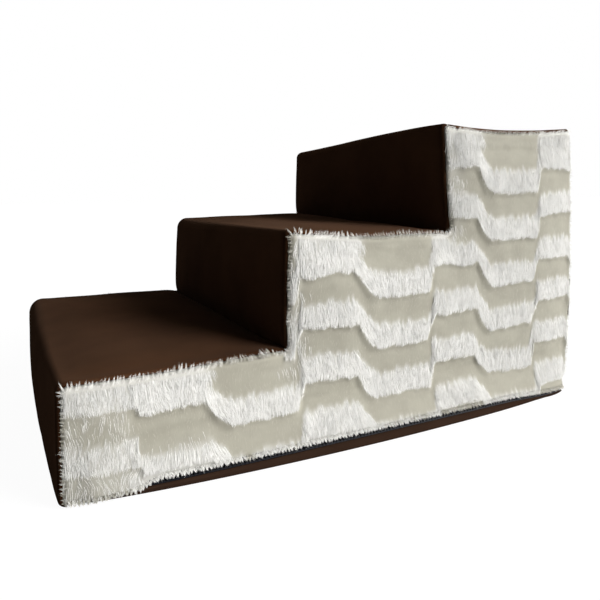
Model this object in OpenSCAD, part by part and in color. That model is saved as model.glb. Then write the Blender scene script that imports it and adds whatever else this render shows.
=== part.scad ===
// Three-step foam stairs for a pet, in a zipped cover with fur side panels.
// The pet climbs along +X. The near side, with the zipper, faces -Y, and the floor is at z = 0.

/* [Stairs] */
// Depth of each tread
tread_depth = 200; // [150:5:300]
// Height of each riser
riser_height = 108; // [80:1:160]
// Width over the fur of both side panels
stair_width = 370; // [280:5:600]
// Radius of the rounded nose of each step
nose_r = 14; // [8:1:25]

/* [Cover] */
// Thickness of the microfibre
fabric_t = 2; // [1.5:0.25:3]
// Swell of the stuffed treads, half way across
tread_crown = 8; // [2:0.5:14]
// Swell of the stuffed risers, half way across
riser_crown = 5; // [2:0.5:9]
// Room between the foam and the microfibre over it
foam_ease = 0.2; // [0.1:0.1:1]
// Thickness of the knitted ground of the fur
backing_t = 2; // [1.5:0.25:3]
// Depth of the short pile
short_pile = 5; // [3:0.5:9]
// Height of the long pile above the short pile
long_pile = 3; // [1:0.5:6]
// Distance that the pile stays inside the outline of the steps
fur_inset = 1.5; // [0.5:0.25:4]
// Height of the far panel's pile above the floor
pile_lift = 3; // [2:0.5:8]

/* [Fur pattern] */
// Distance from one band of long pile up to the next
band_pitch = 52; // [35:1:80]
// Height of a band of long pile
band_height = 24; // [15:1:30]
// Length of one wave of the bands
wave_length = 160; // [100:5:240]
// Rise of the high stretch of a band above its low stretch
wave_rise = 27; // [10:1:40]
// Distance from the front of the stairs to the first high stretch
first_high = 60; // [10:5:140]
// Length of a high stretch
high_length = 65; // [30:5:80]
// Length of the slope from a high stretch down to a low one
fall_length = 20; // [5:1:30]
// Length of the steep rise from a low stretch to the next high one
climb_length = 9; // [4:1:20]
// Distance that the lowest band starts below the floor
band_drop = 5; // [0:1:20]

/* [Zipper] */
// Height of the zipper's centre line at the corners of the stairs
zip_end = 9; // [8.5:0.25:11]
// Height of the zipper's centre line half way along the near side
zip_mid = 13; // [11.5:0.5:22]
// Distance from the front of the stairs to the first tooth
zip_start = 52; // [25:1:120]
// Distance from the far side of the stairs to the end of the zipper
zip_finish = 30; // [20:1:80]
// Width of each half of the tape
tape_width = 11; // [8:0.5:16]
// Thickness of the tape
tape_t = 0.8; // [0.5:0.1:1.2]
// Length of a tooth across the chain
tooth_length = 1.8; // [1.2:0.1:2.4]
// Height of a tooth above the tape
tooth_height = 2.2; // [1.6:0.1:3]
// Width of the cord that each row of teeth grows from
cord_width = 0.7; // [0.5:0.1:1]
// Distance from tooth to tooth along a row
tooth_pitch = 4; // [3:0.25:7]
// Gap between the two rows of teeth
row_gap = 1.2; // [1:0.1:1.6]
// Gap from the chain to the fabric on each side of it
chain_gap = 0.5; // [0.3:0.1:1]
// Length of a stop
stop_length = 4; // [2:0.5:6]

/* [Slider] */
// Length of the slider along the zipper
slider_length = 14; // [10:0.5:18]
// Thickness of the slider's plates
plate_t = 1.2; // [0.8:0.1:1.6]
// Thickness of the slider's flanges
flange_t = 1; // [0.8:0.1:1.4]
// Gap between the slider and what it runs past
slider_gap = 0.3; // [0.2:0.05:0.4]
// Length of the post that parts the teeth
post_length = 2.5; // [1.5:0.5:4]
// Radius of the pin that carries the pull
pin_r = 0.7; // [0.5:0.1:1]
// Gap round the pin in the pull's eye
pin_gap = 0.1; // [0.05:0.01:0.1]
// Thickness of the lugs that hold the pin
lug_t = 1; // [0.8:0.1:1.4]
// Length of the pull from its pin
pull_length = 28; // [18:1:45]
// Width of the pull at its free end
pull_width = 8; // [6:0.5:12]
// Thickness of the pull
pull_t = 1.4; // [1:0.1:2]
// Radius of the pull's eye
eye_r = 1.7; // [1.6:0.1:2]
// Width of the pull's eye
eye_width = 4; // [3:0.25:5]

/* [Seam tab] */
// Length of the tab up the rear seam
tab_length = 47; // [20:1:80]
// Height of the tab's lower end above the floor
tab_height = 93; // [40:1:180]
// Distance that the tab stands out of the seam
tab_proud = 4.5; // [3:0.5:6]
// Thickness of the webbing, which is folded double
webbing_t = 0.9; // [0.6:0.1:1]

/* [Stitches] */
// Length of a stitch
stitch_length = 3; // [2:0.5:5]
// Distance from stitch to stitch
stitch_pitch = 5; // [5:0.5:10]
// Thickness of the thread
thread_t = 0.5; // [0.3:0.1:0.8]
// Distance from a row of stitches to the edge that it holds
stitch_margin = 3; // [2:0.5:6]

/* [Hidden] */

STEPS = 3;
ARC_STEPS = 40;
CROWN_STEPS = 8;
NOSE_STEPS = 6;
ROUND = 64;
overrun = stair_width;

// Faces of the stairs, from the outside in
front = -STEPS * tread_depth / 2;
rear = -front;
near = -stair_width / 2;
far = -near;
top = STEPS * riser_height;
pile_t = short_pile + long_pile;
near_cover = near + pile_t;
near_tape = near_cover + backing_t;
near_foam = near_tape + tape_t;
far_cover = far - pile_t;
far_foam = far_cover - backing_t;
rear_tape = rear - fabric_t;
rear_foam = rear_tape - tape_t;

// The chain, from its centre line outwards
tip = row_gap / 2;
root = tip + tooth_length;
chain = root + cord_width;
side_gap = chain + chain_gap;
slider_half = chain + slider_gap + flange_t;
back_gap = slider_half + slider_gap;
tape_edge = tip + tape_width;

// Ends of the chain's two runs: along the near side, then along the back
side_start = front + zip_start;
side_finish = rear_tape - tooth_height;
back_start = near_tape + tooth_height;
back_finish = far - zip_finish;
rest_y = back_finish - stop_length - slider_gap - slider_length / 2;

// The slider's plates lie on both faces of the tape
inner_plate = rear_foam - slider_gap - plate_t;
outer_plate = rear_tape + tooth_height + slider_gap;
outer_face = outer_plate + plate_t;
pin_x = outer_face + slider_gap + eye_r;
lug_half = eye_width / 2 + slider_gap;

function step_front(step) = front + step * tread_depth;
function step_top(step) = (step + 1) * riser_height;
function foam_top(step) = step_top(step) - fabric_t - foam_ease;

// Swell along a riser from its foot to its nose, and along a tread from its nose to its crease.
// Each pair is a place and the swell there.
riser_shares = [[0, 0], [0.25, 0.75], [0.5, 1], [0.75, 0.8], [1, 0.3]];
tread_shares = [[0, 0.6], [0.2, 0.9], [0.4, 1], [0.6, 0.9], [0.8, 0.6], [1, 0]];
seam_flat = 2 * stitch_margin;

// Height of the zipper's centre line at a place along the near side
function zip_z(x) = zip_mid - (zip_mid - zip_end) * pow(x / rear, 2);

// Places at even distances from one end to the other
function spread(from, to, count) = [for (i = [0:count]) from + (to - from) * i / count];

// The swell dies away where the foam ends, short of both side seams
swell_half = min(-near_foam, far_foam);
swell_line = [for (y = [near_cover, each spread(near_foam, far_foam, CROWN_STEPS), far_cover])
    [y, max(0, 1 - pow(y / swell_half, 2))]];

// A step's face at a place across the stairs, from its foot over the nose to its crease
function step_line(step, y, inset, bottom_z, end_x) = let (
        swell = lookup(y, swell_line),
        foot_z = (step > 0 ? step_top(step - 1) : fabric_t) + seam_flat,
        crease_x = step_front(step + 1) - seam_flat,
        nose_x = step_front(step) + nose_r - riser_crown * swell * riser_shares[4][1],
        nose_z = step_top(step) - nose_r + tread_crown * swell * tread_shares[0][1],
        r = nose_r - inset)
    [[step_front(step) + inset, bottom_z],
        for (share = riser_shares)
            [step_front(step) + inset - riser_crown * swell * share[1],
                foot_z + share[0] * (nose_z - foot_z)],
        for (turn = spread(0, 90, NOSE_STEPS))
            if (turn > 0) [nose_x - r * cos(turn), nose_z + r * sin(turn)],
        for (share = tread_shares)
            if (share[0] > 0) [nose_x + share[0] * (crease_x - nose_x),
                step_top(step) - inset + tread_crown * swell * share[1]],
        [end_x, step_top(step) - inset]];

// Stands outlines of X and Z at their places across the stairs
function stood(places, outlines) = [for (i = [0:len(places) - 1], p = outlines[i]) [p[0], places[i], p[1]]];

// The two faces of a strip between edge a to b at one place and the same edge at the next
function strip(a, b, stride) = [[a, a + stride, b], [b, a + stride, b + stride]];
function turned(faces) = [for (f = faces) [f[0], f[2], f[1]]];

// A solid through outlines that bulge outwards all round, at places across the stairs
module lofted(places, outlines) {
    count = len(outlines[0]);
    last = count * (len(places) - 1);
    fan = [for (j = [0:count - 3]) [count - 1, j, j + 1]];
    polyhedron(stood(places, outlines), [
        each fan,
        each turned([for (f = fan) f + last * [1, 1, 1]]),
        for (low = [0:count:last - 1], j = [0:count - 1])
            each strip(low + j, low + (j + 1) % count, count)]);
}

// A skin between an outer line and an inner one, at places across the stairs
module skin(places, outer, inner) {
    count = len(outer[0]);
    stride = 2 * count;
    last = stride * (len(places) - 1);
    end = [for (j = [0:count - 2]) each [[j, j + 1, count + j + 1], [j, count + j + 1, count + j]]];
    polyhedron(stood(places, [for (i = [0:len(places) - 1]) [each outer[i], each inner[i]]]), [
        each end,
        each turned([for (f = end) f + last * [1, 1, 1]]),
        for (low = [0:stride:last - 1]) each [
            for (j = [low:low + count - 2]) each strip(j, j + 1, stride),
            for (j = [low + count:low + stride - 2]) each turned(strip(j, j + 1, stride)),
            each strip(low + count - 1, low + stride - 1, stride),
            each strip(low + count, low, stride)]]);
}

// Stands an outline of X and Z up between two planes of Y
module side_slab(from_y, to_y) {
    translate([0, to_y, 0]) rotate([90, 0, 0]) linear_extrude(to_y - from_y) children();
}

// Stands an outline of Y and Z up between two planes of X
module cross_slab(from_x, to_x) {
    translate([from_x, 0, 0]) rotate([90, 0, 90]) linear_extrude(to_x - from_x) children();
}

// A rectangle between two corners
module between(low, high) {
    translate(low) square(high - low);
}

// A box between two corners
module block(low, high) {
    translate(low) cube(high - low);
}

// Outline of one step with its nose rounded
module step_outline(from_x, to_x, bottom_z, top_z, r) {
    between([from_x + r, bottom_z], [to_x, top_z]);
    between([from_x, bottom_z], [to_x, top_z - r]);
    translate([from_x + r, top_z - r]) circle(r, $fn = ROUND);
}

// Outline of the whole stairs, a distance inside the outer faces
module stair_outline(inset, bottom_z) {
    for (step = [0:STEPS - 1])
        step_outline(step_front(step) + inset, rear - inset, bottom_z,
            step_top(step) - inset, nose_r - inset);
}

// Everything below a line that follows the zipper's arc
module under_arc(from_x, to_x, offset_z) {
    line = [for (x = spread(from_x, to_x, ARC_STEPS)) [x, zip_z(x) + offset_z]];
    polygon([[from_x, -overrun], each line, [to_x, -overrun]]);
}

// What is cut from the near panel for the base panel's lip and the zipper
module zipped_edge() {
    under_arc(front, rear, -side_gap);
    under_arc(side_start - stop_length - chain_gap, rear, side_gap);
}

// A slab of foam that fills the swell of its tread and riser
module foam_block(step, bottom_z) {
    places = spread(near_foam, far_foam, CROWN_STEPS);
    end_x = min(step_front(step + 1), rear_foam);
    lofted(places, [for (y = places)
        [each step_line(step, y, fabric_t + foam_ease, bottom_z, end_x),
            if (end_x < rear_foam) [rear_foam, foam_top(step)],
            [rear_foam, bottom_z]]]);
}

module foam_base_block() {
    color("ivory") difference() {
        foam_block(0, fabric_t);
        // Hollow that the slider's inner plate presses into the foam
        block([inner_plate - slider_gap, back_start - slider_gap, zip_end - back_gap],
            [rear, rest_y + slider_length / 2 + slider_gap, zip_end + back_gap]);
    }
}

module foam_middle_block() {
    color("ivory") foam_block(1, foam_top(0));
}

module foam_top_block() {
    color("ivory") foam_block(2, foam_top(1));
}

// Microfibre over one step's riser and tread
module step_cover(step, bottom_z) {
    places = [for (cut = swell_line) cut[0]];
    end_x = step_front(step + 1);
    skin(places, [for (y = places) step_line(step, y, 0, bottom_z, end_x)],
        [for (y = places) step_line(step, y, fabric_t, bottom_z, end_x)]);
}

module lower_step_cover() {
    color([0.24, 0.16, 0.12]) step_cover(0, fabric_t);
}

module middle_step_cover() {
    color([0.22, 0.15, 0.11]) step_cover(1, step_top(0) - fabric_t);
}

module upper_step_cover() {
    color([0.2, 0.13, 0.1]) step_cover(2, step_top(1) - fabric_t);
}

module back_panel() {
    color([0.22, 0.15, 0.11]) difference() {
        cross_slab(rear_tape, rear) difference() {
            between([near_cover, fabric_t], [far_cover, top - fabric_t]);
            between([near_cover - overrun, -overrun], [far_cover + overrun, zip_end - back_gap]);
            between([near_cover - overrun, -overrun], [back_finish, zip_end + back_gap]);
        }
        tab_leaves(overrun);
    }
}

// The sheet under the stairs, with the lips that the zipper joins to the sides above
module base_panel() {
    color([0.28, 0.17, 0.13]) {
        block([front, near_cover, 0], [rear, far_cover, fabric_t]);
        side_slab(near_cover, near_tape) difference() {
            under_arc(front + fabric_t, rear, -side_gap);
            between([front, -2 * overrun], [rear, 0]);
        }
        block([rear_tape, near_cover, 0], [rear, far_cover, zip_end - back_gap]);
    }
}

module right_side_backing() {
    color([0.8, 0.77, 0.7]) side_slab(near_cover, near_tape) difference() {
        stair_outline(fabric_t, fabric_t);
        zipped_edge();
    }
}

module left_side_backing() {
    color([0.8, 0.77, 0.7]) side_slab(far_foam, far_cover) stair_outline(fabric_t, fabric_t);
}

// One band of long pile, as high stretches and low ones in turn
module wave_band(low_z) {
    waves = ceil((rear - front + first_high) / wave_length);
    line = [for (wave = [-1:waves], corner = [0:3])
        let (x = front + first_high + wave * wave_length)
            [x + [0, high_length, high_length + fall_length, wave_length - climb_length][corner],
                low_z + [wave_rise, wave_rise, 0, 0][corner]]];
    polygon([each line, each [for (i = [len(line) - 1:-1:0]) line[i] + [0, band_height]]]);
}

module wave_bands() {
    for (band = [-1:ceil(top / band_pitch)])
        wave_band(band * band_pitch - band_drop);
}

// A fur panel on the near side: short pile all over, and long pile on it in waves
module near_pile(bottom_z) {
    side_slab(near + long_pile, near_cover) difference() {
        stair_outline(fur_inset, bottom_z);
        children();
    }
    side_slab(near, near + long_pile) difference() {
        intersection() {
            stair_outline(fur_inset, bottom_z);
            wave_bands();
        }
        children();
    }
}

module right_side_pile() {
    color([0.95, 0.94, 0.9]) near_pile(fabric_t) zipped_edge();
}

module left_side_pile() {
    color([0.95, 0.94, 0.9]) mirror([0, 1, 0]) near_pile(pile_lift);
}

// One half of the tape: along the near side, then along the back
module tape(low, high) {
    difference() {
        union() {
            side_slab(near_tape, near_foam) difference() {
                under_arc(side_start - stop_length, rear_tape, high);
                under_arc(side_start - overrun, rear_tape + overrun, low);
            }
            block([rear_foam, near_tape, zip_end + low], [rear_tape, back_finish, zip_end + high]);
        }
        block([-overrun, -overrun, -overrun], [overrun, overrun, fabric_t]);
    }
}

module zipper_upper_tape() {
    color([0.08, 0.08, 0.1]) tape(tip, tape_edge);
}

module zipper_lower_tape() {
    color([0.08, 0.08, 0.1]) tape(-tape_edge, -tip);
}

// Outline of a row of teeth on its cord. Up is 1 for the upper row and -1 for the lower row.
module tooth_row(from, to, up, arched) {
    shift = up > 0 ? 0 : tooth_pitch / 2;
    count = floor((to - from - shift) / tooth_pitch);
    starts = [for (i = [0:count - 1]) from + shift + i * tooth_pitch];
    tooth = [[0, root], [0, tip], [tooth_pitch / 2, tip], [tooth_pitch / 2, root]];
    inner = [[from, root], each [for (s = starts, corner = tooth) corner + [s, 0]], [to, root]];
    outer = [for (s = spread(to, from, ARC_STEPS)) [s, chain]];
    polygon([for (p = [each inner, each outer])
        [p[0], (arched ? zip_z(p[0]) : zip_end) + up * p[1]]]);
}

module teeth(up) {
    side_slab(near_tape - tooth_height, near_tape) tooth_row(side_start, side_finish, up, true);
    cross_slab(rear_tape, rear_tape + tooth_height)
        tooth_row(back_start, back_finish - stop_length - slider_gap, up, false);
}

module zipper_upper_teeth() {
    color([0.1, 0.1, 0.13]) teeth(1);
}

module zipper_lower_teeth() {
    color([0.1, 0.1, 0.13]) teeth(-1);
}

// Closed end of the chain, clamped over both rows
module zipper_start_stop() {
    color([0.1, 0.1, 0.13])
        side_slab(near_tape - tooth_height, near_tape) difference() {
            under_arc(side_start - stop_length, side_start - slider_gap, chain);
            under_arc(side_start - overrun, side_start + overrun, -chain);
        }
}

// A stop for each row, where the slider ends its closing run
module zipper_end_stops() {
    color([0.1, 0.1, 0.13]) for (low = [tip, -chain])
        block([rear_tape, back_finish - stop_length, zip_end + low],
            [rear_tape + tooth_height, back_finish, zip_end + low + chain - tip]);
}

// An upright plate with round corners, along Y and Z
module slider_plate(from_x, to_x, half_height) {
    r = half_height / 2;
    cross_slab(from_x, to_x) translate([rest_y, zip_end]) {
        square([slider_length, 2 * (half_height - r)], center = true);
        square([slider_length - 2 * r, 2 * half_height], center = true);
        for (y = [-1, 1], z = [-1, 1])
            translate([y * (slider_length / 2 - r), z * (half_height - r)]) circle(r, $fn = ROUND);
    }
}

module zipper_slider() {
    post_y = rest_y + slider_length / 2 - post_length;
    flange_x = rear_tape + slider_gap;
    color([0.2, 0.2, 0.22]) {
        slider_plate(inner_plate, inner_plate + plate_t, slider_half);
        slider_plate(outer_plate, outer_face, slider_half);
        // Post between the rows
        block([inner_plate, post_y, zip_end - tip + slider_gap],
            [outer_face, post_y + post_length, zip_end + tip - slider_gap]);
        // Flanges that hold the rows together behind the post
        for (z = [zip_end - slider_half, zip_end + slider_half - flange_t])
            block([flange_x, rest_y - slider_length / 4, z],
                [outer_face, rest_y + slider_length / 4, z + flange_t]);
        // Lugs and their pin
        for (z = [zip_end - lug_half - lug_t, zip_end + lug_half])
            translate([0, 0, z]) linear_extrude(lug_t) {
                between([outer_plate, rest_y - eye_r], [pin_x, rest_y + eye_r]);
                translate([pin_x, rest_y]) circle(eye_r, $fn = ROUND);
            }
        translate([pin_x, rest_y, zip_end - lug_half])
            cylinder(r = pin_r, h = 2 * lug_half, $fn = ROUND);
    }
}

module zipper_pull() {
    bore_r = pin_r + pin_gap;
    end_r = pull_width / 2;
    color([0.2, 0.2, 0.22]) translate([pin_x, rest_y, zip_end]) difference() {
        union() {
            translate([0, 0, -eye_width / 2]) cylinder(r = eye_r, h = eye_width, $fn = ROUND);
            cross_slab(-pull_t / 2, pull_t / 2) {
                between([-eye_width, -eye_width / 2], [0, eye_width / 2]);
                polygon([[-eye_width, -eye_width / 2], [-eye_width, eye_width / 2],
                    [end_r - pull_length, end_r], [end_r - pull_length, -end_r]]);
                translate([end_r - pull_length, 0]) circle(end_r, $fn = ROUND);
            }
        }
        translate([0, 0, -eye_width]) cylinder(r = bore_r, h = 2 * eye_width, $fn = ROUND);
    }
}

// The two leaves of the folded tab, from inside the seam out to a length past the back
module tab_leaves(out) {
    block([rear_tape, near_cover, tab_height],
        [rear + out, near_cover + 2 * webbing_t, tab_height + tab_length]);
}

module seam_tab() {
    color([0.1, 0.07, 0.06]) {
        tab_leaves(tab_proud - webbing_t);
        // Fold at the outer edge
        translate([rear + tab_proud - webbing_t, near_cover + webbing_t, tab_height])
            cylinder(r = webbing_t, h = tab_length, $fn = ROUND);
    }
}

// Places of the stitches in a row
function stitch_places(from, to) = [for (i = [0:floor((to - from - stitch_length) / stitch_pitch)])
    from + i * stitch_pitch];

module crease_stitches() {
    color([0.08, 0.05, 0.04]) for (step = [1:STEPS - 1], y = stitch_places(near_cover, far_cover))
        block([step_front(step) - thread_t, y, step_top(step - 1)],
            [step_front(step), y + stitch_length, step_top(step - 1) + thread_t]);
}

module back_seam_stitches() {
    z = top - fabric_t - stitch_margin;
    color([0.08, 0.05, 0.04]) for (y = stitch_places(near_cover, far_cover))
        block([rear, y, z], [rear + thread_t, y + stitch_length, z + thread_t]);
}

// Along the foot of the front riser
module base_seam_stitches() {
    z = fabric_t + stitch_margin;
    color([0.08, 0.05, 0.04]) for (y = stitch_places(near_cover, far_cover))
        block([front - thread_t, y, z], [front, y + stitch_length, z + thread_t]);
}

// On the back panel, along the edge above the zipper
module zipper_stitches() {
    z = zip_end + back_gap + stitch_margin;
    color([0.08, 0.05, 0.04]) for (y = stitch_places(near_cover, back_finish))
        block([rear, y, z], [rear + thread_t, y + stitch_length, z + thread_t]);
}

// Up the tab, on the leaf that faces away from the fur
module tab_stitches() {
    y = near_cover + 2 * webbing_t;
    color([0.08, 0.05, 0.04]) for (z = stitch_places(tab_height, tab_height + tab_length))
        block([rear, y, z], [rear + thread_t, y + thread_t, z + stitch_length]);
}

foam_base_block();
foam_middle_block();
foam_top_block();
lower_step_cover();
middle_step_cover();
upper_step_cover();
back_panel();
base_panel();
right_side_backing();
right_side_pile();
left_side_backing();
left_side_pile();
zipper_upper_tape();
zipper_lower_tape();
zipper_upper_teeth();
zipper_lower_teeth();
zipper_start_stop();
zipper_end_stops();
zipper_slider();
zipper_pull();
seam_tab();
crease_stitches();
back_seam_stitches();
base_seam_stitches();
zipper_stitches();
tab_stitches();
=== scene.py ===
import math

import bmesh
import bpy
import numpy as np
from mathutils import Matrix, Vector
from mathutils.kdtree import KDTree


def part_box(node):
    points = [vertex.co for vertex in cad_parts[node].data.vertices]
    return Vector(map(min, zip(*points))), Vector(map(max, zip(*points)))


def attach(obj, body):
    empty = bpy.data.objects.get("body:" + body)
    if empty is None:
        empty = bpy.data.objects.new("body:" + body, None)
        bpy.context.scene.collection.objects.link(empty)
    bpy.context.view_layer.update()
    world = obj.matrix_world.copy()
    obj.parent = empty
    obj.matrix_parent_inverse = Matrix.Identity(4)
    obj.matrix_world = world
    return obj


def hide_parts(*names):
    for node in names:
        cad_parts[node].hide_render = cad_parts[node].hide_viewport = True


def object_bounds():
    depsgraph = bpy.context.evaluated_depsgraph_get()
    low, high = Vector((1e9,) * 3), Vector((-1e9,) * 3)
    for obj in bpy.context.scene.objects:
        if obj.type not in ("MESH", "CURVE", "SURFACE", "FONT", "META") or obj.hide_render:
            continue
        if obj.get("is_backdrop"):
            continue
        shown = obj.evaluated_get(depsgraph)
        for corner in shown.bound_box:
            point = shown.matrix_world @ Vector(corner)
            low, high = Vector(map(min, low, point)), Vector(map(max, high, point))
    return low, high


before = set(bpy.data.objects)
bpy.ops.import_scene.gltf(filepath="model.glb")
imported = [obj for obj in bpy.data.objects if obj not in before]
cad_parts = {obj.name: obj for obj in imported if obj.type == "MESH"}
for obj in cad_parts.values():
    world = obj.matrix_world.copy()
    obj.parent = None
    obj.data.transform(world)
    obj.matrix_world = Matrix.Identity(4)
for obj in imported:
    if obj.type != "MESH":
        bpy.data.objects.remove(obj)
CAD_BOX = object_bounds()
MM = 0.001

# Sizes and places of the stairs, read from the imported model
COVER_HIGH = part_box("lower_step_cover")[1]
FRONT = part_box("base_panel")[0][0]
TREAD = COVER_HIGH[0] - FRONT
HALF = COVER_HIGH[1]
BACK_LOW, BACK_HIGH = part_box("back_panel")
REAR = BACK_HIGH[0]
STEPS = round((REAR - FRONT) / TREAD)
FABRIC = REAR - BACK_LOW[0]
TOP = BACK_HIGH[2] + FABRIC
RISER = TOP / STEPS
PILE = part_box("left_side_pile")[1][1] - HALF
PULL_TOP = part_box("zipper_pull")[1][2]
STOP_LOW, STOP_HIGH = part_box("zipper_end_stops")
CHAIN = (STOP_HIGH[2] - STOP_LOW[2]) / 2
ZIP_END = STOP_LOW[2] + CHAIN
ZIP_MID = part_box("zipper_upper_teeth")[1][2] - CHAIN
ZIP_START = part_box("zipper_start_stop")[0][0]
ZIP_FINISH = STOP_HIGH[1]

# Softness of the cover, tight beside the near panel and looser on the far side
NEAR_NOSE = 6 * MM
FAR_NOSE = [17 * MM, 13 * MM, 9 * MM]
FOOT = 6 * MM
NEAR_REAR = 3 * MM
FAR_REAR = 9 * MM
NEAR_EDGE = 2.5 * MM
FAR_EDGE = 6 * MM
FAR_CORNER = 9 * MM
NOSE_REACH = 35 * MM
TREAD_CROWN = [5 * MM, 4 * MM, 7 * MM]
BACK_EDGE_BULGE = 7 * MM
FRONT_BOW = 4 * MM
BOW_REACH = 60 * MM
PINCH = 3 * MM
PINCH_REACH = 7 * MM
TUCK = 3 * MM
SIDE_SAG = [2 * MM, 3 * MM, 5 * MM]
SAG_REACH = 70 * MM
LIFT_REACH = 60 * MM
COVER_LOWEST = 1.4 * MM
OFF_FLOOR = 0.6 * MM
COVER_SHEET = 0.6 * FABRIC
BACK_STILL = 15 * MM
ZIP_GAP = 0.4 * MM
# How strong the painted shade on each step's tread is towards the next riser, and how far from the riser it
# reaches
PAINTED_SHADE_MOST = [1.0, 0.25, 0.0]
PAINTED_SHADE_REACH = 90 * MM

# How far the foam has pushed each corner, in X and Z millimetres, from the lower front corner up the
# steps and down the back
NEAR_CORNERS = [(-4, 1.5), (0, -3), (2, 1), (6, 4.5), (4, -3), (-7, 3), (-4, 5.5), (10, 0)]
FAR_CORNERS = [(-1, 0), (-2, 11), (-4, 7), (3, 4), (0, 7), (3, -4), (0, 0), (0, 0)]

# The strip of the base panel below the zipper, which bulges most past its middle
STRIP_BULGE = 27.4 * MM
BULGE_AT = 60 * MM
BULGE_TOP = 95 * MM
STRIP_ROLL = 3 * MM
FRONT_FADE = 25 * MM
REAR_FADE = 8 * MM

# Cloth simulation of the stuffed cover
VOXEL = 7 * MM
PRESSURE = 4
STIFFNESS = 15
SIM_FRAMES = 12
SWELL_CAP = 5.5 * MM
SEAM_HOLD = 9 * MM
NOSE_HOLD = 28 * MM

# How the zipper and the hem hang at the rear near corner
REAR_DIP = 5.5 * MM
DIP_LENGTH = 130 * MM
DIP_FROM = 3 * MM
DIP_TURN = 5 * MM

# Waves of the fur
WAVE = 160 * MM
FIRST_HIGH = FRONT + 60 * MM
WAVE_RISE = 27 * MM
FRONT_RAISED = 6 * MM
BAND_PITCH = 52 * MM
BAND_HEIGHT = 26 * MM
BAND_DROP = 5 * MM
FALL_AT = 58 * MM
FALL_LENGTH = 26 * MM
CLIMB_AT = 151 * MM
CLIMB_LENGTH = 9 * MM
PARTING_AT = 156 * MM
LOW_WHITE = 27 * MM
LOW_WHITE_ENDS = 0
THIN_FROM = 31 * MM
THIN_TO = 54 * MM
HEM_START = 3.5 * MM
HEM_RISE = 45 * MM
HEM_OPENS = 30 * MM
BAND_RELIEF = 2 * MM
LEDGE = 7 * MM
FOAM_SLACK = 9 * MM

# Hair
LONG_HAIRS = 170000
SHORT_HAIRS = 15000
HAIRS_IN_PIECE = 9900
LONGEST = 10 * MM
HEM_FRINGE = 2 * MM
PLUSH_CELL = 2.5 * MM
PILE_RIM = 4 * MM
SIDE_SWELL = 5 * MM
TUFT_PITCH = 3.1 * MM
FRINGE_PITCH = 3.3 * MM
HAIRS_IN_TUFT = 9
HAIR_SECTION = [(1, 0), (-1, 0), (0, -0.35)]
HAIR_SHINE = np.array([0.25, 0, 0.25])


def bump(u, power=0.7):
    """0 at both ends of 0 to 1 and 1 half way."""
    return np.sin(np.pi * np.clip(u, 0, 1)) ** power


def smooth(u):
    u = np.clip(u, 0, 1)
    return u * u * (3 - 2 * u)


def lattice_noise(a, b, seed):
    """Smooth noise from -1 to 1 over two coordinates in cells of size 1."""
    size = 512
    table = np.random.default_rng(seed).uniform(-1, 1, (size, size))
    i, j = np.floor(a).astype(int), np.floor(b).astype(int)
    u, v = smooth(a - i), smooth(b - j)
    corner = lambda di, dj: table[(i + di) % size, (j + dj) % size]
    lower = corner(0, 0) * (1 - u) + corner(1, 0) * u
    upper = corner(0, 1) * (1 - u) + corner(1, 1) * u
    return lower * (1 - v) + upper * v


def noise(a, b, a_size, b_size, seed):
    """Smooth noise over two lengths, in cells of these sizes in millimetres."""
    return lattice_noise(a / (a_size * MM), b / (b_size * MM), seed)


def bell(distance, width):
    """1 at no distance, falling off to either side."""
    return np.exp(-((distance / width) ** 2))


def zip_z(x):
    """Height of the zipper's centre line along the near side."""
    return ZIP_MID - (ZIP_MID - ZIP_END) * (x / REAR) ** 2


def round_corner(y):
    """1 along the near side, and less and less round the rear near corner."""
    return 1 - smooth((y + HALF - DIP_FROM) / DIP_TURN)


def zip_dip(x, y):
    """How far the zipper hangs below its course towards the rear near corner."""
    return REAR_DIP * smooth((x - REAR) / DIP_LENGTH + 1) * round_corner(y)


# The soft outline of the steps: rows of X, Z and normal for every place across the stairs


def arc_rows(x, z, radius, from_deg, to_deg, count):
    turn = np.radians(np.linspace(from_deg, to_deg, count))[:, None]
    cos, sin = np.cos(turn) + 0 * radius, np.sin(turn) + 0 * radius
    return np.stack([x + radius * cos, z + radius * sin, cos, sin], -1)


def line_rows(start, end, normal, count):
    t = np.linspace(0, 1, count)[:, None]
    x = start[0] + (end[0] - start[0]) * t
    z = start[1] + (end[1] - start[1]) * t
    return np.stack([x, z, normal[0] + 0 * x, normal[1] + 0 * x], -1)


def from_near_to_far(near, far, ys):
    return near + (far - near) * smooth((ys + HALF) / (2 * HALF))


def step_rows(k, tuck, ys):
    """One step's riser, nose and tread, from the bottom up."""
    flat = 0 * ys
    front, top, rear = FRONT + k * TREAD + flat, (k + 1) * RISER + flat, FRONT + (k + 1) * TREAD + flat
    nose = from_near_to_far(NEAR_NOSE, FAR_NOSE[k], ys)
    parts = []
    if k == 0:
        parts.append(arc_rows(front + FOOT, FOOT + flat, FOOT + flat, 268, 184, 7))
        parts.append(line_rows((front, FOOT + flat), (front, top - nose), (-1, 0), 24))
    else:
        parts.append(line_rows((front, k * RISER - tuck + flat), (front, top - nose), (-1, 0), 28))
    parts.append(arc_rows(front + nose, top - nose, nose, 174, 96, 9))
    if k == STEPS - 1:
        edge = from_near_to_far(NEAR_REAR, FAR_REAR, ys)
        parts.append(line_rows((front + nose, top), (REAR - edge, top), (0, 1), 48))
        parts.append(arc_rows(REAR - edge, top - edge, edge, 82, 0, 7))
    else:
        parts.append(line_rows((front + nose, top), (rear + tuck, top), (0, 1), 50))
    return np.concatenate(parts)


def corner_push(first, y, up, across):
    """Offset in X and Z between three corners, the first of them at the bottom of a riser."""
    corners = []
    for number in range(first, first + 3):
        near, far = np.array([NEAR_CORNERS[number], FAR_CORNERS[number]]) * MM
        corners.append(from_near_to_far(near, far, y[:, None]))
    up, across = np.reshape(up, (-1, 1)), np.reshape(across, (-1, 1))
    return corners[1] + (corners[0] - corners[1]) * (1 - up) + (corners[2] - corners[1]) * across


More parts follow.
